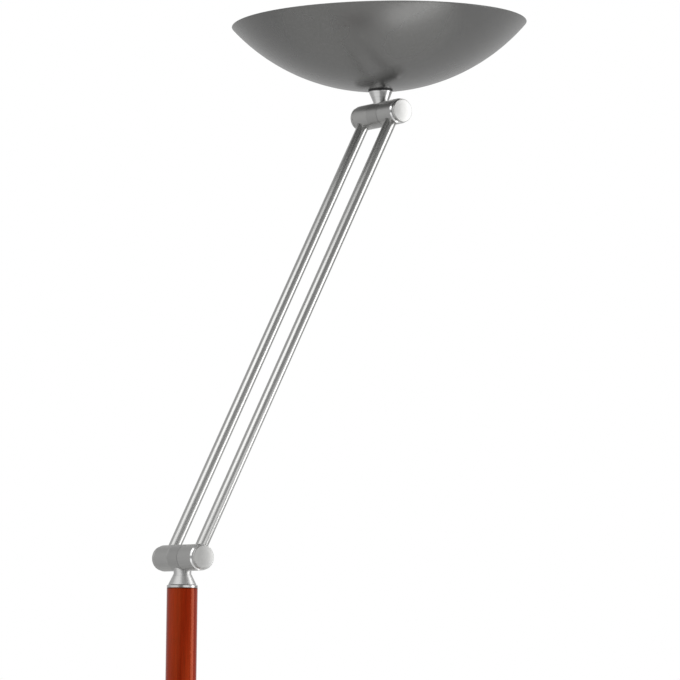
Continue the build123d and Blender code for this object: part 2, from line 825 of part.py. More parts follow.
# The outer sphere passes through the edge of the flat and through the rim.
bowl_radius = bowl_diameter / 2
sphere_rise = (bowl_radius**2 - bowl_flat_radius**2 + bowl_depth**2) / (2 * bowl_depth)
sphere_radius = sqrt(bowl_flat_radius**2 + sphere_rise**2)
sphere_centre = (0, bowl_seat + sphere_rise)
inner_radius = sphere_radius - bowl_wall
hem_radius = inner_radius - bowl_wall


def sphere_angle(radius, height):
    """Where a sphere about the bowl's centre reaches a height above the bowl's seat."""
    return degrees(asin((height - sphere_rise) / radius))


save(
    ring(
        head_frame,
        upper_cone_end,
        bowl_seat,
        tube_radius + press_gap,
        bowl_washer_radius,
    ),
    "bowl_washer",
)
flat_angle = sphere_angle(sphere_radius, 0)
floor_angle = sphere_angle(inner_radius, bowl_wall)
rim_angle = sphere_angle(sphere_radius, bowl_depth)
hem_rim_angle = sphere_angle(hem_radius, bowl_depth)
hem_angle = hem_rim_angle - degrees(hem_width / hem_radius)
with BuildPart() as bowl:
    with BuildSketch(local(head_frame, Plane.XZ)):
        with BuildLine():
            outside = CenterArc(sphere_centre, sphere_radius, flat_angle, rim_angle - flat_angle)
            hem = CenterArc(sphere_centre, hem_radius, hem_angle, hem_rim_angle - hem_angle)
            inside = CenterArc(sphere_centre, inner_radius, floor_angle, hem_angle - floor_angle)
            Line(outside @ 1, hem @ 1)
            Line(hem @ 0, inside @ 1)
            Polyline(inside @ 0, (0, bowl_seat + bowl_wall), (0, bowl_seat), outside @ 0)
        make_face()
    revolve(axis=upright(head_frame))
    with BuildSketch(local(head_frame, Plane.XY)):
        Circle(tube_radius + press_gap)
    extrude(amount=2 * bowl_seat, mode=Mode.SUBTRACT)
save(bowl.part, "bowl")

# ---------------------------------------------------------------- lamp in the bowl
# The nipple's nut clamps a bracket on the bowl. The bracket carries a sheet trough with two ceramic
# holders, a tubular halogen lamp and, over it, a sheet of safety glass held by spring clips.
bracket_wall = 1.5
bracket_half, bracket_width = 13.0, 16.0
trough_bottom = 52.0
trough_top = 80.0
trough_wall = 0.8
trough_half_length = 75.0
trough_flat_half = 14.0
trough_flange = 6.0
trough_corner = 4.0
flange_lap = 0.5  # flange over the trough's upright edge
bracket_flange_end = 34.0
rivet_offset = 27.0
lock_washer_height = 0.8
lock_washer_radius = 9.0
inner_seat = bowl_seat + bowl_wall
lock_washer_seat = inner_seat + bracket_wall
head_nut_seat = lock_washer_seat + lock_washer_height
trough_half_width = trough_flat_half + trough_top - trough_bottom
holder_hole_offset = 64.0
screw_radius = 1.5
rivet_radius = 2.0

save(
    ring(
        head_frame,
        nipple_reach,
        head_nut_seat + nut_height + nipple_past_nut,
        tube_bore / 2,
        tube_radius,
    ),
    "head_nipple",
)
with BuildPart() as lamp_bracket:
    with BuildSketch(local(head_frame, Plane.YZ)):
        Polygon(
            (0, inner_seat),
            (bracket_half, inner_seat),
            (bracket_half, trough_bottom - bracket_wall),
            (bracket_flange_end, trough_bottom - bracket_wall),
            (bracket_flange_end, trough_bottom),
            (bracket_half - bracket_wall, trough_bottom),
            (bracket_half - bracket_wall, inner_seat + bracket_wall),
            (0, inner_seat + bracket_wall),
        )
    extrude(amount=bracket_width / 2, both=True)
    mirror(about=local(head_frame, Plane.XZ))
    with BuildSketch(local(head_frame, Plane.XY)):
        Circle(tube_radius + press_gap)
        with Locations((0, rivet_offset), (0, -rivet_offset)):
            Circle(rivet_radius + press_gap)
    extrude(amount=trough_top, mode=Mode.SUBTRACT)
save(lamp_bracket.part, "lamp_bracket")
save(
    ring(
        head_frame,
        lock_washer_seat,
        head_nut_seat,
        tube_radius + press_gap,
        lock_washer_radius,
    ),
    "head_lock_washer",
)
save(
    hex_nut(
        local(head_frame, Plane.XY, head_nut_seat), nut_across, tube_radius + press_gap, nut_height
    ),
    "head_nut",
)

with BuildPart() as reflector:
    with BuildSketch(local(head_frame, Plane.XZ)):
        with BuildLine():
            Line((-trough_flat_half, trough_bottom), (trough_flat_half, trough_bottom))
            curve_radius = trough_top - trough_bottom
            right_side = CenterArc((trough_flat_half, trough_top), curve_radius, -90, 90)
            left_side = CenterArc((-trough_flat_half, trough_top), curve_radius, 180, 90)
            Line(right_side @ 1, left_side @ 0)
        make_face()
    extrude(amount=trough_half_length, both=True)
    offset(amount=-trough_wall, openings=reflector.faces().sort_by(upright(head_frame))[-1])
    with BuildSketch(local(head_frame, Plane.XY, trough_top - trough_wall)):
        RectangleRounded(
            2 * (trough_half_width + trough_flange),
            2 * (trough_half_length + trough_flange),
            trough_corner,
        )
        Rectangle(
            2 * (trough_half_width - flange_lap),
            2 * (trough_half_length - flange_lap),
            mode=Mode.SUBTRACT,
        )
    extrude(amount=trough_wall)
    with BuildSketch(local(head_frame, Plane.XY, trough_bottom)):
        with Locations((0, rivet_offset), (0, -rivet_offset)):
            Circle(rivet_radius + press_gap)
        with Locations((0, holder_hole_offset), (0, -holder_hole_offset)):
            Circle(screw_radius + press_gap)
    extrude(amount=trough_wall, mode=Mode.SUBTRACT)
save(reflector.part, "reflector")

trough_floor = trough_bottom + trough_wall
rivet_head_height, rivet_head_radius = 1.2, 3.6
with BuildPart() as reflector_rivets:
    for along in (rivet_offset, -rivet_offset):
        for low, high, radius in (
            (trough_bottom - bracket_wall, trough_floor, rivet_radius),
            (trough_floor, trough_floor + rivet_head_height, rivet_head_radius),
            (
                trough_bottom - bracket_wall - rivet_head_height,
                trough_bottom - bracket_wall,
                rivet_head_radius,
            ),
        ):
            with BuildSketch(local(head_frame, Plane.XY, low)):
                with Locations((0, along)):
                    Circle(radius)
            extrude(amount=high - low)
save(reflector_rivets.part, "reflector_rivets")

# Lamp: a 118 mm double-ended tube. Its caps sit in cups of the holders.
lamp_height = 68.0
lamp_half = 58.8
cap_length, cap_radius = 14.5, 3.9
contact_length, contact_radius = 1.2, 1.8
tube_half, tube_glass_radius = 39.0, 5.0
pinch_radius, shoulder_half = 2.0, 2.0
cup_depth, cup_radius = 4.0, 5.0
lamp_end_play = 0.2
holder_inner = lamp_half + lamp_end_play - cup_depth
holder_length, holder_half_width = 18.0, 8.0
holder_top = lamp_height + 8.5
holder_edge_round = 1.5
screw_length, screw_head_height, screw_head_radius = 6.0, 1.8, 2.9
screw_hole_depth = 6.5
lamp_frame = Plane(
    head_frame.from_local_coords(Vector(0, 0, lamp_height)),
    x_dir=head_frame.x_dir,
    z_dir=head_frame.z_dir,
)

with BuildPart() as lamp_holders:
    for side in SIDES.values():
        with BuildSketch(local(head_frame, Plane.XY, trough_floor)):
            with Locations((0, side * (holder_inner + holder_length / 2))):
                Rectangle(2 * holder_half_width, holder_length)
        extrude(amount=holder_top - trough_floor)
        with BuildSketch(outward(lamp_frame, side, holder_inner)):
            Circle(cup_radius)
        extrude(amount=cup_depth, mode=Mode.SUBTRACT)
        with BuildSketch(local(head_frame, Plane.XY, trough_floor)):
            with Locations((0, side * holder_hole_offset)):
                Circle(screw_radius + press_gap)
        extrude(amount=screw_hole_depth, mode=Mode.SUBTRACT)
    tops = lamp_holders.faces().group_by(upright(head_frame))[-1]
    fillet(tops.edges(), radius=holder_edge_round)
save(lamp_holders.part, "lamp_holders")

with BuildPart() as holder_screws:
    for side in SIDES.values():
        for low, high, radius in (
            (trough_bottom, trough_floor + screw_length, screw_radius),
            (trough_bottom - screw_head_height, trough_bottom, screw_head_radius),
        ):
            with BuildSketch(local(head_frame, Plane.XY, low)):
                with Locations((0, side * holder_hole_offset)):
                    Circle(radius)
            extrude(amount=high - low)
save(holder_screws.part, "holder_screws")

with BuildPart() as halogen_tube:
    with BuildSketch(local(lamp_frame, Plane.YZ)):
        with BuildLine():
            Polyline(
                (0, 0),
                (lamp_half - cap_length, 0),
                (lamp_half - cap_length, pinch_radius),
                (tube_half + shoulder_half, pinch_radius),
                (tube_half - shoulder_half, tube_glass_radius),
                (0, tube_glass_radius),
                close=True,
            )
        make_face()
    revolve(axis=crosswise(lamp_frame))
    mirror(about=local(lamp_frame, Plane.XZ))
save(halogen_tube.part, "halogen_tube")

with BuildPart() as lamp_caps:
    for side in SIDES.values():
        with BuildSketch(outward(lamp_frame, side, lamp_half - cap_length)):
            Circle(cap_radius)
        extrude(amount=cap_length - contact_length)
        with BuildSketch(outward(lamp_frame, side, lamp_half - contact_length)):
            Circle(contact_radius)
        extrude(amount=contact_length)
save(lamp_caps.part, "lamp_caps")

glass_thickness = 3.2
glass_corner = 3.0
glass_inset = 1.0  # glass inside the trough's flange
with BuildPart() as safety_glass:
    with BuildSketch(local(head_frame, Plane.XY, trough_top)):
        RectangleRounded(
            2 * (trough_half_width + trough_flange - glass_inset),
            2 * (trough_half_length + trough_flange - glass_inset),
            glass_corner,
        )
    extrude(amount=glass_thickness)
save(safety_glass.part, "safety_glass")

# Spring clips hook under the flange and over the glass.
clip_wall, clip_width, clip_lip = 0.6, 12.0, 4.0
clip_offset = 45.0
clip_back = trough_half_width + trough_flange + running_gap
clip_low = trough_top - trough_wall - running_gap
clip_high = trough_top + glass_thickness + running_gap
with BuildPart() as glass_clips:
    for side in SIDES.values():
        for along in (clip_offset, -clip_offset):
            with BuildSketch(local(head_frame, Plane.XZ, -along)):
                shape = [
                    (clip_back - clip_lip, clip_low),
                    (clip_back, clip_low),
                    (clip_back, clip_high),
                    (clip_back - clip_lip, clip_high),
                    (clip_back - clip_lip, clip_high + clip_wall),
                    (clip_back + clip_wall, clip_high + clip_wall),
                    (clip_back + clip_wall, clip_low - clip_wall),
                    (clip_back - clip_lip, clip_low - clip_wall),
                ]
                Polygon(*[(side * across, height) for across, height in shape])
            extrude(amount=clip_width / 2, both=True)
save(glass_clips.part, "glass_clips")
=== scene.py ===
import json
from math import asin, atan2, cos, degrees, pi, radians, sin, sqrt

import bmesh
import bpy
from mathutils import Matrix, Vector


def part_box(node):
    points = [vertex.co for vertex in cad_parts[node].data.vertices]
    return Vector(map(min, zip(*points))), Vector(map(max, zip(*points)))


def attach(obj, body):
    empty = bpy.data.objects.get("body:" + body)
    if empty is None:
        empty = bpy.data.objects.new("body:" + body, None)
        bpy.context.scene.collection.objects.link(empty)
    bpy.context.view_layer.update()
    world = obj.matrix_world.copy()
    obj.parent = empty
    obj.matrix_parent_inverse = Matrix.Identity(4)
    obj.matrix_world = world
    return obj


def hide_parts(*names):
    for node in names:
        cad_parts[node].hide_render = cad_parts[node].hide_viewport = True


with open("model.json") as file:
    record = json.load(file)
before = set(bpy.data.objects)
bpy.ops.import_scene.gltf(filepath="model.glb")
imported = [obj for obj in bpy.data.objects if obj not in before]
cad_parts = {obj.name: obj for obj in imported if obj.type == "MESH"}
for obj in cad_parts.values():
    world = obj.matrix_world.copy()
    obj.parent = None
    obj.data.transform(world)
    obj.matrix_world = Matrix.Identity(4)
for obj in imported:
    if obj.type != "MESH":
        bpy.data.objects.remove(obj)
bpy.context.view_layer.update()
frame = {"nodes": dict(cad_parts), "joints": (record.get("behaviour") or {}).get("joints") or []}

scene = bpy.context.scene

# ---------------------------------------------------------------- camera
# A long lens about four metres off, a little above the middle of the column. It looks slightly up at
# the jointed arm, so that the bowl is seen from below and the base stays out of the picture.
camera_place = Vector((-2.1804, -3.3503, 1.0841))
camera_turn = radians(35.574)  # from +Y towards +X
camera_pitch = radians(5.289)
camera_roll = radians(0.617)
camera_data = bpy.data.cameras.new("camera")
camera_data.lens = 186.28
camera_data.sensor_width = 36.0
camera = bpy.data.objects.new("camera", camera_data)
camera.matrix_world = (
    Matrix.Translation(camera_place)
    @ Matrix.Rotation(-camera_turn, 4, "Z")
    @ Matrix.Rotation(radians(90) + camera_pitch, 4, "X")
    @ Matrix.Rotation(camera_roll, 4, "Z")
)
scene.collection.objects.link(camera)
scene.camera = camera
scene.view_settings.view_transform = "Standard"

# ---------------------------------------------------------------- studio
# A pale floor that fades into a white surround. What the metal mirrors is a plain photographer's room:
# grey walls, with a wide pale screen to the left of the camera and a darker wall to the right of it.
# Three soft boxes light the lamp.
floor_radius, fade_from, fade_to = 1.7, 0.35, 1.6
floor_tone, white_tone = (0.80, 0.80, 0.79, 1.0), (1.0, 1.0, 1.0, 1.0)
round_steps = 96
floor_mesh = bmesh.new()
bmesh.ops.create_circle(floor_mesh, cap_ends=True, segments=round_steps, radius=floor_radius)
floor_data = bpy.data.meshes.new("floor")
floor_mesh.to_mesh(floor_data)
floor_mesh.free()
floor = bpy.data.objects.new("floor", floor_data)
scene.collection.objects.link(floor)


def new_finish(name):
    """An empty node material: its nodes, its links and its Principled shader."""
    material = bpy.data.materials.new(name)
    material.use_nodes = True
    nodes, links = material.node_tree.nodes, material.node_tree.links
    return material, nodes, links, nodes["Principled BSDF"]


def ramp(nodes, links, source, stops):
    """A colour ramp over a source socket; stops are (position, colour) pairs."""
    node = nodes.new("ShaderNodeValToRGB")
    while len(node.color_ramp.elements) < len(stops):
        node.color_ramp.elements.new(0.5)
    for element, (position, colour) in zip(node.color_ramp.elements, stops):
        element.position = position
        element.color = (*colour, 1.0)
    links.new(source, node.inputs["Fac"])
    return node.outputs["Color"]


floor_paint, nodes, links, shader = new_finish("floor_paint")
shader.inputs["Base Color"].default_value = floor_tone
shader.inputs["Roughness"].default_value = 0.7
# For the camera the floor turns into the white surround away from the lamp, and keeps its shadow near it.
place = nodes.new("ShaderNodeTexCoord")
distance = nodes.new("ShaderNodeVectorMath")
distance.operation = "LENGTH"
fade = nodes.new("ShaderNodeMapRange")
fade.interpolation_type = "SMOOTHSTEP"
fade.inputs["From Min"].default_value = fade_from
fade.inputs["From Max"].default_value = fade_to
eye = nodes.new("ShaderNodeLightPath")
seen = nodes.new("ShaderNodeMath")
seen.operation = "MULTIPLY"
white = nodes.new("ShaderNodeEmission")
white.inputs["Color"].default_value = white_tone
blend = nodes.new("ShaderNodeMixShader")
links.new(place.outputs["Object"], distance.inputs[0])
links.new(distance.outputs["Value"], fade.inputs["Value"])
links.new(fade.outputs["Result"], seen.inputs[0])
links.new(eye.outputs["Is Camera Ray"], seen.inputs[1])
links.new(seen.outputs["Value"], blend.inputs["Fac"])
links.new(shader.outputs["BSDF"], blend.inputs[1])
links.new(white.outputs["Emission"], blend.inputs[2])
links.new(blend.outputs["Shader"], nodes["Material Output"].inputs["Surface"])
floor_data.materials.append(floor_paint)

# The surround: white to the eye and through glass, an even fill for diffuse light, and for reflections
# a ring of tones, with a second ring at the horizon. A ring is read by the angle round the lamp: 0 is
# straight away from the camera, a quarter is the left side, a half the camera, three quarters the right.
fill_level, ring_level = 0.62, 1.15
ring_tones = (
    (0.00, 0.55), (0.10, 0.50), (0.20, 0.47), (0.25, 0.44), (0.31, 0.92), (0.45, 0.92), (0.49, 0.38),
    (0.54, 0.29), (0.66, 0.27), (0.72, 0.40), (0.82, 0.50), (0.92, 0.56), (1.00, 0.55),
)
horizon_tones = (
    (0.00, 0.55), (0.10, 0.50), (0.20, 0.42), (0.26, 0.70), (0.40, 0.75), (0.45, 0.16), (0.51, 0.14),
    (0.54, 0.95), (0.63, 1.05), (0.68, 0.50), (0.73, 0.60), (0.78, 0.30), (0.86, 0.30), (0.92, 0.50),
    (1.00, 0.55),
)
height_tones = ((0.0, 0.80), (0.2, 0.80), (0.45, 1.0), (0.68, 1.0), (0.85, 0.75))  # straight down to up
horizon_share = ((0.40, 0.0), (0.44, 1.0), (0.56, 1.0), (0.60, 0.0))
away = Vector((sin(camera_turn), cos(camera_turn), 0.0))
rightward = Vector((cos(camera_turn), -sin(camera_turn), 0.0))
world = bpy.data.worlds.new("studio")
scene.world = world
world.use_nodes = True
nodes, links = world.node_tree.nodes, world.node_tree.links
nodes.clear()
place = nodes.new("ShaderNodeTexCoord")


def along(direction):
    """How far the looked-up direction goes along a given one, from -1 to 1."""
    dot = nodes.new("ShaderNodeVectorMath")
    dot.operation = "DOT_PRODUCT"
    dot.inputs[1].default_value = direction
    links.new(place.outputs["Generated"], dot.inputs[0])
    return dot.outputs["Value"]


bearing = nodes.new("ShaderNodeMath")
bearing.operation = "ARCTAN2"
links.new(along(rightward), bearing.inputs[0])
links.new(along(-away), bearing.inputs[1])
part_way = nodes.new("ShaderNodeMapRange")
part_way.inputs["From Min"].default_value = -pi
part_way.inputs["From Max"].default_value = pi
links.new(bearing.outputs["Value"], part_way.inputs["Value"])


def greys(source, tones):
    """A ramp of greys over a source socket; tones are (position, grey) pairs."""
    return ramp(nodes, links, source, [(position, (tone,) * 3) for position, tone in tones])


height = nodes.new("ShaderNodeMapRange")
height.inputs["From Min"].default_value = -1.0
links.new(along(Vector((0, 0, 1))), height.inputs["Value"])
banded = nodes.new("ShaderNodeMix")
banded.data_type, banded.blend_type = "RGBA", "MULTIPLY"
banded.inputs["Factor"].default_value = 1.0
links.new(greys(part_way.outputs["Result"], ring_tones), banded.inputs["A"])
links.new(greys(height.outputs["Result"], height_tones), banded.inputs["B"])
levelled = nodes.new("ShaderNodeMix")
levelled.data_type = "RGBA"
links.new(greys(height.outputs["Result"], horizon_share), levelled.inputs["Factor"])
links.new(banded.outputs["Result"], levelled.inputs["A"])
links.new(greys(part_way.outputs["Result"], horizon_tones), levelled.inputs["B"])
mirrored = nodes.new("ShaderNodeBackground")
links.new(levelled.outputs["Result"], mirrored.inputs["Color"])
mirrored.inputs["Strength"].default_value = ring_level
fill = nodes.new("ShaderNodeBackground")
fill.inputs["Color"].default_value = white_tone
fill.inputs["Strength"].default_value = fill_level
surround = nodes.new("ShaderNodeBackground")
surround.inputs["Color"].default_value = white_tone
eye = nodes.new("ShaderNodeLightPath")
clear_view = nodes.new("ShaderNodeMath")
clear_view.operation = "MAXIMUM"
links.new(eye.outputs["Is Camera Ray"], clear_view.inputs[0])
links.new(eye.outputs["Is Transmission Ray"], clear_view.inputs[1])
glossy_or_fill = nodes.new("ShaderNodeMixShader")
links.new(eye.outputs["Is Glossy Ray"], glossy_or_fill.inputs["Fac"])
links.new(fill.outputs["Background"], glossy_or_fill.inputs[1])
links.new(mirrored.outputs["Background"], glossy_or_fill.inputs[2])
eye_or_rest = nodes.new("ShaderNodeMixShader")
links.new(clear_view.outputs["Value"], eye_or_rest.inputs["Fac"])
links.new(glossy_or_fill.outputs["Shader"], eye_or_rest.inputs[1])
links.new(surround.outputs["Background"], eye_or_rest.inputs[2])
output = nodes.new("ShaderNodeOutputWorld")
links.new(eye_or_rest.outputs["Shader"], output.inputs["Surface"])

# One tall soft box stands to the right of the lamp, a wide one hangs above and left of the camera, and
# a small one stands low on the right and shines up under the bowl. Each is placed by its angle from the
# camera's side towards the right, its reach and its middle's height, and aims at a height on the axis.


def soft_box(name, angle, reach, middle, aim, width, tall, watts):
    """A rectangular lamp that faces the object's axis and isn't seen itself."""
    data = bpy.data.lights.new(name, "AREA")
    data.shape = "RECTANGLE"
    data.size, data.size_y, data.energy = width, tall, watts
    box = bpy.data.objects.new(name, data)
    turn = radians(angle)
    box.location = (rightward * sin(turn) - away * cos(turn)) * reach + Vector((0, 0, middle))
    box.rotation_euler = (Vector((0, 0, aim)) - box.location).to_track_quat("-Z", "Y").to_euler()
    box.visible_camera = False
    scene.collection.objects.link(box)


soft_box("right_box", angle=90, reach=1.9, middle=1.70, aim=1.70, width=0.90, tall=2.0, watts=11.5)
soft_box("left_box", angle=-36, reach=1.6, middle=2.95, aim=1.40, width=1.7, tall=1.2, watts=6.0)
soft_box("low_box", angle=79, reach=0.82, middle=0.28, aim=1.75, width=0.42, tall=0.95, watts=1.05)

# ---------------------------------------------------------------- base cover
# Pressed steel cover of the round base: a shallow cone with a flat seat and a rolled shoulder, drawn in
# at its lower edge. It is sprayed metallic grey, like the bowl, and baked.
mm = 0.001
cover_radius, cover_low, cover_shoulder, cover_top = 140 * mm, 1.5 * mm, 20 * mm, 26 * mm
cover_seat, cover_round, shoulder_lift, sheet = 36 * mm, 6 * mm, 1 * mm, 1.2 * mm
cover_slope = degrees(atan2(cover_top - cover_shoulder, cover_radius - cover_seat))
bore = 5.02 * mm  # the tube, the dimmer's bush and the gland all pass a hole of this radius
gland_height, hole_reach = 8.4 * mm, 5 * mm
merge_distance, sharp_angle = 0.002 * mm, 35


def arc(centre, radius, start, end, steps):
    """Points of an arc in the plane of an outline, both ends included; angles in degrees."""
    turns = [radians(start + (end - start) * step / steps) for step in range(steps + 1)]
    return [(centre[0] + radius * cos(t), centre[1] + radius * sin(t)) for t in turns]


def smoothed(data):
    """Shades a mesh smooth, but for its sharp edges."""
    data.shade_smooth()
    data.set_sharp_from_angle(angle=radians(sharp_angle))


def piece_from(bm, name, place=None):
    """Closes a bmesh off as an object: doubles merged, faces outwards, smooth but for its sharp edges."""
    bmesh.ops.remove_doubles(bm, verts=bm.verts, dist=merge_distance)
    bmesh.ops.recalc_face_normals(bm, faces=bm.faces)
    if place:
        bmesh.ops.transform(bm, matrix=place, verts=bm.verts)
    data = bpy.data.meshes.new(name)
    bm.to_mesh(data)
    bm.free()
    smoothed(data)
    piece = bpy.data.objects.new(name, data)
    scene.collection.objects.link(piece)
    return piece


def spun(outline, steps=round_steps, closed=False):
    """An outline of (radius, height) points spun once about Z."""
    bm = bmesh.new()
    points = [bm.verts.new((radius, 0, height)) for radius, height in outline]
    for one, other in zip(points, points[1:] + points[:1] * closed):
        bm.edges.new((one, other))
    bmesh.ops.spin(
        bm, geom=bm.verts[:] + bm.edges[:], cent=(0, 0, 0), axis=(0, 0, 1), angle=2 * pi, steps=steps,
        use_merge=True,
    )
    bmesh.ops.remove_doubles(bm, verts=bm.verts, dist=merge_distance)
    bmesh.ops.recalc_face_normals(bm, faces=bm.faces)
    return bm


def eased(bm, ease, sharp=sharp_angle):
    """Rounds the sharp corners that run round a spun piece."""
    level_within = 0.01 * mm
    corners = [
        edge for edge in bm.edges
        if edge.is_manifold and edge.calc_face_angle() > radians(sharp)
        and abs(edge.verts[0].co.z - edge.verts[1].co.z) < level_within
    ]
    bmesh.ops.bevel(
        bm, geom=corners, offset=ease, offset_type="OFFSET", segments=3, profile=0.5,
        affect="EDGES", clamp_overlap=True, material=-1,
    )


def turned(name, outline, place=None, ease=0.3 * mm, steps=round_steps, closed=False):
    """A lathe piece with eased corners, stood in its place."""
    bm = spun(outline, steps, closed)
    eased(bm, ease)
    return piece_from(bm, name, place)


def bored(piece, start, end, radius, steps=48):
    """Drills a round hole through a piece, from one point to another."""
    run = end - start
    drill = bmesh.new()
    bmesh.ops.create_cone(
        drill, cap_ends=True, segments=steps, radius1=radius, radius2=radius, depth=run.length
    )
    place = Matrix.Translation((start + end) / 2) @ run.to_track_quat("Z", "Y").to_matrix().to_4x4()
    cutter = piece_from(drill, "drill", place)
    cut = piece.modifiers.new("bore", "BOOLEAN")
    cut.operation, cut.solver, cut.object = "DIFFERENCE", "EXACT", cutter
    graph = bpy.context.evaluated_depsgraph_get()
    data = bpy.data.meshes.new_from_object(piece.evaluated_get(graph))
    piece.modifiers.clear()
    piece.data = data
    bpy.data.objects.remove(cutter)
    smoothed(data)


def fit(piece, body, slot, finish, *nodes):
    """Mounts a finished piece on its body in place of CAD nodes, in its slot's finish. The slot argument is
    not used.
    """
    piece.data.materials.clear()
    piece.data.materials.append(finish)
    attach(piece, body)
    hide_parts(*nodes)


def dress(finish, *nodes):
    """Gives carried-over CAD nodes their finish."""
    for node in nodes:
        for slot in frame["nodes"][node].material_slots:
            slot.material = finish


def noise(nodes, links, vector, scale, detail=2.0, roughness=0.5, distortion=0.0):
    """A noise texture over a vector socket, as a grey from 0 to 1."""
    texture = nodes.new("ShaderNodeTexNoise")
    texture.inputs["Scale"].default_value = scale
    texture.inputs["Detail"].default_value = detail
    texture.inputs["Roughness"].default_value = roughness
    texture.inputs["Distortion"].default_value = distortion
    links.new(vector, texture.inputs["Vector"])
    return texture.outputs["Fac"]


def spread(nodes, links, source, low, high):
    """A grey from 0 to 1, spread from low to high."""
    node = nodes.new("ShaderNodeMapRange")
    node.inputs["To Min"].default_value = low
    node.inputs["To Max"].default_value = high
    links.new(source, node.inputs["Value"])
    return node.outputs["Result"]


def relief(nodes, links, shader, source, strength, depth):
    """Lets a grey from 0 to 1 raise the surface by up to a depth."""
    bump = nodes.new("ShaderNodeBump")
    bump.inputs["Strength"].default_value = strength
    bump.inputs["Distance"].default_value = depth
    links.new(source, bump.inputs["Height"])
    links.new(bump.outputs["Normal"], shader.inputs["Normal"])


def metallic_lacquer(name, tone, pale, roughness):
    """Sprayed metallic paint: fine flakes of two tones under a slightly uneven, satin surface."""
    material, nodes, links, shader = new_finish(name)
    place = nodes.new("ShaderNodeTexCoord").outputs["Object"]
    flakes = nodes.new("ShaderNodeTexVoronoi")
    flakes.inputs["Scale"].default_value = 2600.0
    separate = nodes.new("ShaderNodeSeparateColor")
    links.new(place, flakes.inputs["Vector"])
    links.new(flakes.outputs["Color"], separate.inputs["Color"])
    colour = ramp(nodes, links, separate.outputs["Red"], ((0.0, tone), (0.75, tone), (1.0, pale)))
    links.new(colour, shader.inputs["Base Color"])
    cloud = noise(nodes, links, place, scale=9.0, detail=3.0)
    gloss = spread(nodes, links, cloud, roughness - 0.03, roughness + 0.03)
    links.new(gloss, shader.inputs["Roughness"])
    spray = noise(nodes, links, place, scale=900.0)
    relief(nodes, links, shader, spray, strength=0.06, depth=0.02 * mm)
    shader.inputs["Metallic"].default_value = 0.85
    return material


base_lacquer = metallic_lacquer("base_lacquer", (0.22, 0.22, 0.222), (0.34, 0.34, 0.34), roughness=0.32)
shoulder_centre = (cover_radius - cover_round, cover_shoulder - cover_round + shoulder_lift)
inner_round = cover_round - sheet
cover = turned(
    "base_cover_shell",
    [(bore, cover_top - sheet), (bore, cover_top), (cover_seat, cover_top)]
    + arc(shoulder_centre, cover_round, 90 - cover_slope, 0, 10)
    + [(cover_radius, cover_low), (cover_radius - sheet, cover_low)]
    + arc(shoulder_centre, inner_round, 0, 90 - cover_slope, 10)
    + [(cover_seat, cover_top - sheet)],
    steps=160, closed=True,
)
joints = {joint["name"]: joint for joint in frame["joints"]}
dimmer_axis = Vector(joints["dimmer_turn"]["axis"])
dimmer_place = Vector(joints["dimmer_turn"]["pos_m"])
gland_place = Vector((-cover_radius, 0, gland_height))
for hole, axis in ((dimmer_place, dimmer_axis), (gland_place, Vector((1, 0, 0)))):
    bored(cover, hole - axis * hole_reach, hole + axis * hole_reach, bore)
fit(cover, "stand", "base_lacquer", base_lacquer, "base_cover")

# ---------------------------------------------------------------- weight and felt
# An iron casting fills the cover and keeps the lamp upright. It is dipped in black paint, and a disc of
# dark felt glued under it spares the floor.


def rough_skin(name, tone, pale, scale, roughness, depth):
    """A matt surface of two close tones with grain of one size: castings, felt, fibre, moulded plastic."""
    material, nodes, links, shader = new_finish(name)
    place = nodes.new("ShaderNodeTexCoord").outputs["Object"]
    grain = noise(nodes, links, place, scale, detail=6.0, roughness=0.65)
    links.new(ramp(nodes, links, grain, ((0.35, tone), (0.7, pale))), shader.inputs["Base Color"])
    relief(nodes, links, shader, grain, strength=0.5, depth=depth)
    shader.inputs["Roughness"].default_value = roughness
    return material, shader


iron, _ = rough_skin("iron", (0.014, 0.014, 0.015), (0.035, 0.035, 0.037), 500, 0.62, 0.25 * mm)
felt, shader = rough_skin("felt", (0.018, 0.018, 0.02), (0.06, 0.06, 0.066), 1400, 0.95, 0.5 * mm)
shader.inputs["Sheen Weight"].default_value = 0.5
dress(iron, "base_weight")
dress(felt, "base_felt")

# ---------------------------------------------------------------- cord gland and dimmer
# A flanged plastic bush with a nut behind the cover leads the cord in. The dimmer's moulded box hangs
# under the cover by its threaded bush and panel nut; its shaft carries a fluted knob with a metal cap.
black_plastic, _ = rough_skin(
    "black_plastic", (0.012, 0.012, 0.013), (0.022, 0.022, 0.024), 2200, 0.42, 0.03 * mm
)


def zinc_plate():
    """Plated steel: a cool grey metal, mottled by the plating's crystals."""
    material, nodes, links, shader = new_finish("zinc_plate")
    place = nodes.new("ShaderNodeTexCoord").outputs["Object"]
    crystals = nodes.new("ShaderNodeTexVoronoi")
    crystals.inputs["Scale"].default_value = 700.0
    links.new(place, crystals.inputs["Vector"])
    smear = noise(nodes, links, place, scale=260.0, detail=4.0)
    colour = ramp(nodes, links, smear, ((0.3, (0.44, 0.45, 0.45)), (0.7, (0.60, 0.60, 0.58))))
    links.new(colour, shader.inputs["Base Color"])
    gloss = spread(nodes, links, crystals.outputs["Distance"], 0.26, 0.42)
    links.new(gloss, shader.inputs["Roughness"])
    shader.inputs["Metallic"].default_value = 1.0
    return material


def place_at(origin, up, across=Vector((0, 1, 0))):
    """The place of a local frame: its Z along up, and its Y as near to across as that allows."""
    z = up.normalized()
    y = (across - z * across.dot(z)).normalized()
    x = y.cross(z)
    return Matrix.Translation(origin) @ Matrix((x, y, z)).transposed().to_4x4()


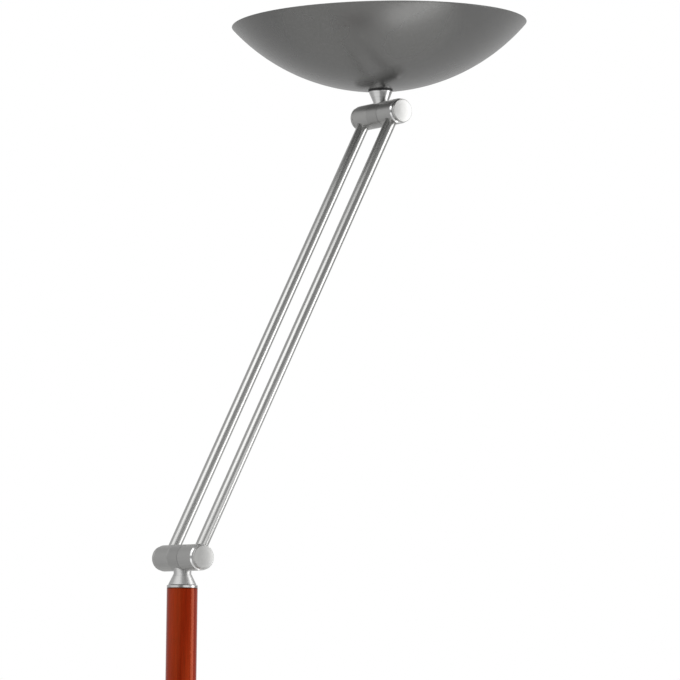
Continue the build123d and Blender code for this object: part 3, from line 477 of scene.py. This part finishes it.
def centred_on(nodes, links, place, scale=(1.0, 1.0, 1.0)):
    """Object coordinates measured in a piece's own local frame, and divided by a scale."""
    centred = nodes.new("ShaderNodeMapping")
    centred.vector_type = "TEXTURE"
    centred.inputs["Location"].default_value = place.to_translation()
    centred.inputs["Rotation"].default_value = place.to_euler()
    centred.inputs["Scale"].default_value = scale
    links.new(nodes.new("ShaderNodeTexCoord").outputs["Object"], centred.inputs["Vector"])
    return centred.outputs["Vector"]


def turned_metal(name, place, tone, pale, roughness, uneven, groove, bright_from=None):
    """Lathe-turned aluminium: fine tool rings about the local Z, in colour, gloss and height.

    Further than bright_from along the axis, either way, the metal is cut bright after anodising.
    """
    material, nodes, links, shader = new_finish(name)
    # Distance from the axis and height along it are the only two things that a tool ring depends on.
    apart = nodes.new("ShaderNodeSeparateXYZ")
    flat = nodes.new("ShaderNodeCombineXYZ")
    radius = nodes.new("ShaderNodeVectorMath")
    radius.operation = "LENGTH"
    rings = nodes.new("ShaderNodeCombineXYZ")
    links.new(centred_on(nodes, links, place), apart.inputs["Vector"])
    links.new(apart.outputs["X"], flat.inputs["X"])
    links.new(apart.outputs["Y"], flat.inputs["Y"])
    links.new(flat.outputs["Vector"], radius.inputs[0])
    links.new(radius.outputs["Value"], rings.inputs["X"])
    links.new(apart.outputs["Z"], rings.inputs["Y"])
    tool = noise(nodes, links, rings.outputs["Vector"], scale=2400.0, detail=3.0)
    colour = ramp(nodes, links, tool, ((0.3, tone), (0.7, pale)))
    coordinates = nodes.new("ShaderNodeTexCoord").outputs["Object"]
    cloud = noise(nodes, links, coordinates, scale=45.0, detail=3.0)
    gloss = spread(nodes, links, cloud, roughness - uneven, roughness + uneven)
    if bright_from:
        distance = nodes.new("ShaderNodeMath")
        distance.operation = "ABSOLUTE"
        bright = nodes.new("ShaderNodeMath")
        bright.operation = "GREATER_THAN"
        bright.inputs[1].default_value = bright_from
        cut_colour = nodes.new("ShaderNodeMix")
        cut_colour.data_type = "RGBA"
        cut_colour.inputs["B"].default_value = (0.95, 0.95, 0.95, 1.0)
        cut_gloss = nodes.new("ShaderNodeMix")
        cut_gloss.inputs["B"].default_value = 0.15
        links.new(apart.outputs["Z"], distance.inputs[0])
        links.new(distance.outputs["Value"], bright.inputs[0])
        for mix, source in ((cut_colour, colour), (cut_gloss, gloss)):
            links.new(bright.outputs["Value"], mix.inputs["Factor"])
            links.new(source, mix.inputs["A"])
        colour, gloss = cut_colour.outputs["Result"], cut_gloss.outputs["Result"]
    links.new(colour, shader.inputs["Base Color"])
    links.new(gloss, shader.inputs["Roughness"])
    relief(nodes, links, shader, tool, strength=0.25, depth=groove)
    shader.inputs["Metallic"].default_value = 1.0
    return material


def satin(name, place, tone=0.47, roughness=0.32, bright_from=None):
    """Turned aluminium, anodised to an even satin grey."""
    dark, pale = (tone, tone, 0.98 * tone), (1.2 * tone, 1.2 * tone, 1.18 * tone)
    return turned_metal(name, place, dark, pale, roughness, 0.04, 0.01 * mm, bright_from)


steel = zinc_plate()
cap_satin = satin("satin_knob_cap", place_at(dimmer_place, dimmer_axis), tone=0.5)
dress(black_plastic, "cord_gland", "cord_gland_nut", "dimmer_module", "dimmer_knob")
dress(steel, "dimmer_panel_nut", "dimmer_shaft")
dress(cap_satin, "dimmer_knob_cap")

# ---------------------------------------------------------------- column foot and ferrule
# Turned aluminium, polished: a flared foot that seats on the cover and a slim ferrule where the wooden
# sections meet. Both carry spigots that fill the bored ends of the wood.
foot_low, foot_high = (corner.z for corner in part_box("column_foot"))
column_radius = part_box("column_lower")[1].x
wood_low, joint_low = (corner.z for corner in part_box("column_lower"))
joint_high, wood_high = (corner.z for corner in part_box("column_upper"))
foot_radius, foot_edge, land = 29 * mm, 1.5 * mm, 3 * mm
spigot_radius, spigot_length = 10 * mm, 22 * mm


def polished(name, place, roughness=0.22):
    """Turned aluminium, polished bright."""
    return turned_metal(name, place, (0.52, 0.52, 0.52), (0.68, 0.68, 0.67), roughness, 0.03, 0.012 * mm)


column_polish = polished("polished_column", Matrix())
foot = turned(
    "turned_foot",
    [
        (bore, foot_low), (foot_radius, foot_low), (foot_radius, foot_low + foot_edge),
        (column_radius, wood_low - land), (column_radius, wood_low), (spigot_radius, wood_low),
        (spigot_radius, foot_high), (bore, foot_high),
    ],
    closed=True,
)
fit(foot, "stand", "polished_aluminium", column_polish, "column_foot")
ferrule = turned(
    "turned_ferrule",
    [
        (bore, joint_low - spigot_length), (spigot_radius, joint_low - spigot_length),
        (spigot_radius, joint_low), (column_radius, joint_low), (column_radius, joint_high),
        (spigot_radius, joint_high), (spigot_radius, joint_high + spigot_length),
        (bore, joint_high + spigot_length),
    ],
    ease=0.5 * mm, closed=True,
)
fit(ferrule, "stand", "polished_aluminium", column_polish, "column_joint")

# ---------------------------------------------------------------- wooden column
# Two turned and bored lengths of straight-grained hardwood, stained red-brown and gloss lacquered. The
# tie tubes inside pull them on to the foot, the ferrule and the swivel housing.


def stained_wood():
    """Straight-grained hardwood under clear gloss: bands and pores that run up the column."""
    material, nodes, links, shader = new_finish("lacquered_wood")
    place = nodes.new("ShaderNodeTexCoord").outputs["Object"]
    upwards = nodes.new("ShaderNodeMapping")
    upwards.inputs["Scale"].default_value = (1.0, 1.0, 0.035)  # drawn out along the column
    links.new(place, upwards.inputs["Vector"])
    bands = noise(nodes, links, upwards.outputs["Vector"], scale=120.0, detail=3.0, distortion=0.4)
    pores = noise(nodes, links, upwards.outputs["Vector"], scale=1500.0, detail=4.0)
    figure = ramp(
        nodes, links, bands,
        ((0.30, (0.20, 0.006, 0.001)), (0.50, (0.29, 0.014, 0.002)), (0.72, (0.38, 0.032, 0.006))),
    )
    fleck = ramp(nodes, links, pores, ((0.36, (0.55, 0.50, 0.50)), (0.52, (1.0, 1.0, 1.0))))
    stain = nodes.new("ShaderNodeMix")
    stain.data_type, stain.blend_type = "RGBA", "MULTIPLY"
    stain.inputs["Factor"].default_value = 0.6
    links.new(figure, stain.inputs["A"])
    links.new(fleck, stain.inputs["B"])
    # Painted shade: the last millimetre or so at the column's top end is darkened, for the shadow in the
    # gap under the swivel housing's land.
    top_shade_from, top_shade_to, top_shade_share = wood_high - 1.6 * mm, wood_high - 1.0 * mm, 0.8
    apart = nodes.new("ShaderNodeSeparateXYZ")
    edge = nodes.new("ShaderNodeMapRange")
    edge.inputs["From Min"].default_value = top_shade_from
    edge.inputs["From Max"].default_value = top_shade_to
    edge.inputs["To Max"].default_value = top_shade_share
    shaded_top = nodes.new("ShaderNodeMix")
    shaded_top.data_type = "RGBA"
    shaded_top.inputs["B"].default_value = (0.02, 0.002, 0.001, 1.0)
    links.new(place, apart.inputs["Vector"])
    links.new(apart.outputs["Z"], edge.inputs["Value"])
    links.new(edge.outputs["Result"], shaded_top.inputs["Factor"])
    links.new(stain.outputs["Result"], shaded_top.inputs["A"])
    links.new(shaded_top.outputs["Result"], shader.inputs["Base Color"])
    relief(nodes, links, shader, pores, strength=0.12, depth=0.05 * mm)
    shader.inputs["Roughness"].default_value = 0.16
    shader.inputs["IOR"].default_value = 1.9
    shader.inputs["Specular Tint"].default_value = (1.0, 0.22, 0.06, 1.0)
    return material


wood = stained_wood()
wire_hole, housing_radius, housing_depth = 6 * mm, 12 * mm, 34 * mm
clearance, spare = 0.02 * mm, 0.5 * mm  # how much wider and deeper a socket is than what it holds
foot_socket, housing_socket = spigot_radius + clearance, housing_radius + clearance


def wooden_length(name, low, high, top_socket, top_depth):
    """A bored length with a socket for a spigot below and one for what stands in it above."""
    return turned(
        name,
        [
            (foot_socket, low), (column_radius, low), (column_radius, high), (top_socket, high),
            (top_socket, high - top_depth - spare), (wire_hole, high - top_depth - spare),
            (wire_hole, low + spigot_length + spare), (foot_socket, low + spigot_length + spare),
        ],
        ease=0.35 * mm, closed=True,
    )


lower_wood = wooden_length("lower_wood", wood_low, joint_low, foot_socket, spigot_length)
upper_wood = wooden_length("upper_wood", joint_high, wood_high, housing_socket, housing_depth)
fit(lower_wood, "stand", "lacquered_wood", wood, "column_lower")
fit(upper_wood, "stand", "lacquered_wood", wood, "column_upper")
dress(steel, "lower_tie_tube", "upper_tie_tube", "foot_washer", "foot_nut")

# ---------------------------------------------------------------- swivel
# A turned housing is let into the top of the wood, and only its bright land shows. The hollow nipple
# turns in it on a fibre washer and is held down by a disc spring and a nut.
fibre, _ = rough_skin("fibre", (0.03, 0.026, 0.022), (0.065, 0.055, 0.045), 1800, 0.8, 0.05 * mm)
dress(column_polish, "swivel_housing")
dress(steel, "swivel_plug", "swivel_nipple", "swivel_nut", "swivel_spring", "swivel_stop_pin")
dress(fibre, "swivel_washer")

# ---------------------------------------------------------------- cones
# Turned and polished aluminium, bored for a nipple. The narrow end of each is hollowed across its axis
# to sit on the round of its barrel.
lower_pivot = Vector(joints["arm_tilt"]["pos_m"])
upper_pivot = Vector(joints["head_tilt"]["pos_m"])
bowl_tilt = radians(2.1)
head_up = Vector((-sin(bowl_tilt), 0, cos(bowl_tilt)))
post_place = place_at(lower_pivot, Vector((0, 0, -1)))
head_place = place_at(upper_pivot, head_up)
barrel_radius, cone_ease, cone_corner = 15 * mm, 0.15 * mm, 50


def saddled(name, place, end, wide, neck, length, rim):
    """A cone from its wide end to the saddle; heights are counted from the barrel's axis."""
    bm = spun(
        [
            (bore, 0), (neck, 0), (neck, end - rim - length), (wide, end - rim), (wide, end), (bore, end),
        ],
        closed=True,
    )
    eased(bm, cone_ease, sharp=cone_corner)
    for vertex in bm.verts:
        if vertex.co.z < barrel_radius / 4:
            vertex.co.z += sqrt(barrel_radius**2 - min(abs(vertex.co.x), neck) ** 2)
    return piece_from(bm, name, place)


lower_cone = saddled(
    "lower_turned_cone", post_place,
    end=30.5 * mm, wide=16 * mm, neck=10 * mm, length=12 * mm, rim=0.3 * mm,
)
upper_cone = saddled(
    "upper_turned_cone", head_place,
    end=28 * mm, wide=14 * mm, neck=8.75 * mm, length=12.9 * mm, rim=0.8 * mm,
)
lower_polish = polished("polished_lower", post_place, roughness=0.38)
upper_polish = polished("polished_upper", head_place)
fit(lower_cone, "swivel", "polished_aluminium", lower_polish, "lower_cone")
fit(upper_cone, "head", "polished_aluminium", upper_polish, "upper_cone")

# ---------------------------------------------------------------- barrel knuckles
# A hub between two cheeks makes each barrel, all satin anodised aluminium. A hollow bolt clamps them
# through fibre washers and disc springs, pins stop the turn, and screwed end plugs clamp the rods.
barrel_half, plug_head, plug_radius, plug_thread = 43.5 * mm, 3.7 * mm, 14 * mm, 11 * mm
end_groove, end_chamfer, cut_margin = 0.8 * mm, 1.5 * mm, 0.02 * mm
plug_seat, plug_round, plug_chamfer = 35.02 * mm, 1.3 * mm, 0.3 * mm
plug_low = barrel_half - plug_head
chamfer_start = plug_low - end_groove - end_chamfer + cut_margin
pivots = {"lower": lower_pivot, "upper": upper_pivot}
sides = {"left": 1, "right": -1}
for level, pivot in pivots.items():
    barrel_place = place_at(pivot, Vector((0, 1, 0)), across=Vector((0, 0, 1)))
    barrel_satin = satin(f"satin_{level}_barrel", barrel_place, bright_from=chamfer_start)
    hub_satin = satin(f"satin_{level}_hub", barrel_place, tone=0.42)
    plug_satin = satin(f"satin_{level}_plugs", barrel_place, roughness=0.30)
    dress(barrel_satin, f"{level}_cheek_left", f"{level}_cheek_right")
    dress(hub_satin, f"{level}_hub")
    dress(steel, f"{level}_stop_pins")
    for hand, side in sides.items():
        plug = turned(
            f"{level}_plug_{hand}",
            [
                (0, plug_seat), (plug_thread, plug_seat), (plug_thread, plug_low),
                (plug_radius - plug_chamfer, plug_low), (plug_radius, plug_low + plug_chamfer),
            ]
            + arc((plug_radius - plug_round, barrel_half - plug_round), plug_round, 0, 90, 6)
            + [(0, barrel_half)],
            place_at(pivot, Vector((0, side, 0)), across=Vector((0, 0, 1))),
            ease=0.15 * mm,
        )
        fit(plug, "arm", "satin_aluminium", plug_satin, f"{level}_end_plug_{hand}")
dress(steel, "axle_bolts", "axle_nuts", "axle_springs")
dress(fibre, "friction_washers")

# ---------------------------------------------------------------- rods
# Two drawn aluminium tubes, satin anodised, clamped in both barrels. Inside a barrel each has a hole
# that lets the wires pass from the axle into the tube.
arm_up = (upper_pivot - lower_pivot).normalized()
arm_length = (upper_pivot - lower_pivot).length
arm_place = place_at(lower_pivot, arm_up)
rod_radius, rod_wall, rod_offset, rod_depth = 7 * mm, 1.6 * mm, 28 * mm, 12 * mm
wire_hole_radius = 2.75 * mm


def drawn_metal(name, place):
    """Drawn and anodised tube: faint straight lines along its length."""
    material, nodes, links, shader = new_finish(name)
    drawn = centred_on(nodes, links, place, scale=(1.0, 1.0, 60.0))
    lines = noise(nodes, links, drawn, scale=1200.0, detail=3.0)
    colour = ramp(nodes, links, lines, ((0.3, (0.56, 0.56, 0.55)), (0.7, (0.62, 0.62, 0.61))))
    links.new(colour, shader.inputs["Base Color"])
    coordinates = nodes.new("ShaderNodeTexCoord").outputs["Object"]
    cloud = noise(nodes, links, coordinates, scale=30.0)
    links.new(spread(nodes, links, cloud, 0.22, 0.28), shader.inputs["Roughness"])
    shader.inputs["Metallic"].default_value = 1.0
    return material


rod_satin = drawn_metal("satin_rods", arm_place)
for hand, side in sides.items():
    rod = turned(
        f"drawn_rod_{hand}",
        [
            (rod_radius - rod_wall, -rod_depth), (rod_radius, -rod_depth),
            (rod_radius, arm_length + rod_depth), (rod_radius - rod_wall, arm_length + rod_depth),
        ],
        arm_place @ Matrix.Translation((0, side * rod_offset, 0)),
        ease=0.4 * mm, closed=True,
    )
    for pivot in pivots.values():
        rod_middle = pivot + Vector((0, side * rod_offset, 0))
        bored(rod, rod_middle, rod_middle - Vector((0, side * 2 * rod_radius, 0)), wire_hole_radius, 24)
    fit(rod, "arm", "satin_aluminium", rod_satin, f"rod_{hand}")

# ---------------------------------------------------------------- bowl
# Spun from one aluminium disc to part of a sphere, with a flat seat and its rim folded back inside,
# then sprayed metallic grey. A black plastic washer keeps it off the cone.
bowl_radius, bowl_depth, bowl_wall, hem_width = 176 * mm, 78.2 * mm, 1.5 * mm, 6 * mm
bowl_seat, bowl_flat = 29.6 * mm, 15 * mm
# The outer sphere passes through the edge of the flat and through the rim.
sphere_rise = (bowl_radius**2 - bowl_flat**2 + bowl_depth**2) / (2 * bowl_depth)
sphere_radius = sqrt(bowl_flat**2 + sphere_rise**2)
inner_radius, hem_radius = sphere_radius - bowl_wall, sphere_radius - 2 * bowl_wall


def sphere_angle(radius, height):
    """The angle above the sphere's centre, in degrees, at a height above the bowl's flat."""
    return degrees(asin((height - sphere_rise) / radius))


def sphere_arc(radius, start, end, steps):
    """Part of a circle about the sphere's centre."""
    return arc((0, bowl_seat + sphere_rise), radius, start, end, steps)


rim_turn, hem_rim_turn = sphere_angle(sphere_radius, bowl_depth), sphere_angle(hem_radius, bowl_depth)
hem_turn = hem_rim_turn - degrees(hem_width / hem_radius)
bowl_profile = (
    [(bore, bowl_seat)]
    + sphere_arc(sphere_radius, sphere_angle(sphere_radius, 0), rim_turn, 56)
    + sphere_arc(hem_radius, hem_rim_turn, hem_turn, 4)
    + sphere_arc(inner_radius, hem_turn, sphere_angle(inner_radius, bowl_wall), 54)
    + [(bore, bowl_seat + bowl_wall)]
)
bowl_lacquer = metallic_lacquer(
    "bowl_lacquer", (0.225, 0.225, 0.222), (0.335, 0.335, 0.33), roughness=0.27
)
bowl = turned("spun_bowl", bowl_profile, head_place, ease=0.2 * mm, steps=192, closed=True)
fit(bowl, "head", "bowl_lacquer", bowl_lacquer, "bowl")
dress(black_plastic, "bowl_washer")

# ---------------------------------------------------------------- lamp fittings
# The nipple's nut clamps a steel bracket in the bowl. Rivets hold the bright reflector trough on it, and
# two ceramic holders are screwed in the trough.
reflector_finish = turned_metal(
    "bright_anodised", head_place, (0.80, 0.80, 0.80), (0.90, 0.90, 0.90), 0.16, 0.03, 0.01 * mm
)
ceramic, _ = rough_skin("ceramic", (0.66, 0.63, 0.56), (0.78, 0.76, 0.70), 900, 0.6, 0.05 * mm)
dress(steel, "head_nipple", "head_lock_washer", "head_nut", "lamp_bracket", "holder_screws", "glass_clips")
dress(reflector_finish, "reflector", "reflector_rivets")
dress(ceramic, "lamp_holders", "lamp_caps")

# ---------------------------------------------------------------- halogen lamp and its glass
# A double-ended quartz tube, pinched flat at both ends in its caps, with a coiled tungsten filament along
# its middle. A sheet of toughened glass lies over the trough, held by the clips.


def clear(name, tint, ripple):
    """Clear glass with a faint tint and an almost even surface."""
    material, nodes, links, shader = new_finish(name)
    place = nodes.new("ShaderNodeTexCoord").outputs["Object"]
    waves = noise(nodes, links, place, scale=60.0)
    relief(nodes, links, shader, waves, strength=0.05, depth=ripple)
    shader.inputs["Base Color"].default_value = tint
    shader.inputs["Roughness"].default_value = 0.01
    shader.inputs["Transmission Weight"].default_value = 1.0
    shader.inputs["IOR"].default_value = 1.5
    return material


lamp_axis_height, tube_glass, tube_wall, tube_half = 68 * mm, 5 * mm, 0.8 * mm, 39 * mm
shoulder_round, shoulder_low = 3 * mm, tube_half - 1.5 * mm
pinch_radius, pinch_start, pinch_end = 1.6 * mm, tube_half + 2 * mm, 44.3 * mm
lamp_centre = head_place @ Vector((0, 0, lamp_axis_height))
lamp_place = place_at(lamp_centre, Vector((0, 1, 0)), across=head_up)
half_outline = (
    [(tube_glass, 0)]
    + arc((tube_glass - shoulder_round, shoulder_low), shoulder_round, 0, 80, 6)
    + [(pinch_radius, pinch_start), (pinch_radius, pinch_end), (0, pinch_end)]
)
other_half = [(radius, -height) for radius, height in reversed(half_outline[1:])]
quartz = clear("quartz", (0.97, 0.97, 0.96, 1.0), ripple=0.02 * mm)
tube = piece_from(spun(other_half + half_outline, 48), "quartz_tube", lamp_place)
wall = tube.modifiers.new("wall", "SOLIDIFY")
wall.thickness, wall.offset = tube_wall, -1
fit(tube, "head", "quartz", quartz, "halogen_tube")

# The filament: a close helix of thin wire on short straight legs, which stop in the pinches.
coil_radius, wire_radius, coil_half, leg_end = 1.1 * mm, 0.14 * mm, 30 * mm, tube_half + 1 * mm
coil_turns, turn_steps = 56, 12
coil = bmesh.new()
bmesh.ops.create_circle(
    coil, segments=6, radius=wire_radius,
    matrix=Matrix.Translation((coil_radius, 0, -coil_half)) @ Matrix.Rotation(radians(90), 4, "X"),
)
bmesh.ops.spin(
    coil, geom=coil.verts[:] + coil.edges[:], cent=(0, 0, 0), axis=(0, 0, 1),
    dvec=(0, 0, 2 * coil_half / (coil_turns * turn_steps)), angle=2 * pi * coil_turns,
    steps=coil_turns * turn_steps,
)
bmesh.ops.holes_fill(coil, edges=[edge for edge in coil.edges if edge.is_boundary])
for end in (-1, 1):
    leg_length = leg_end - coil_half
    bmesh.ops.create_cone(
        coil, cap_ends=True, segments=8, radius1=2 * wire_radius, radius2=2 * wire_radius, depth=leg_length,
        matrix=Matrix.Translation((coil_radius / 2, 0, end * (coil_half + leg_length / 2))),
    )
filament = piece_from(coil, "filament", lamp_place)
tungsten, nodes, links, shader = new_finish("tungsten")
place = nodes.new("ShaderNodeTexCoord").outputs["Object"]
soot = noise(nodes, links, place, scale=800.0)
colour = ramp(nodes, links, soot, ((0.3, (0.12, 0.12, 0.125)), (0.7, (0.25, 0.25, 0.25))))
links.new(colour, shader.inputs["Base Color"])
shader.inputs["Metallic"].default_value = 1.0
shader.inputs["Roughness"].default_value = 0.45
filament.data.materials.append(tungsten)
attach(filament, "head")
dress(clear("glass", (0.93, 0.97, 0.95, 1.0), ripple=0.03 * mm), "safety_glass")
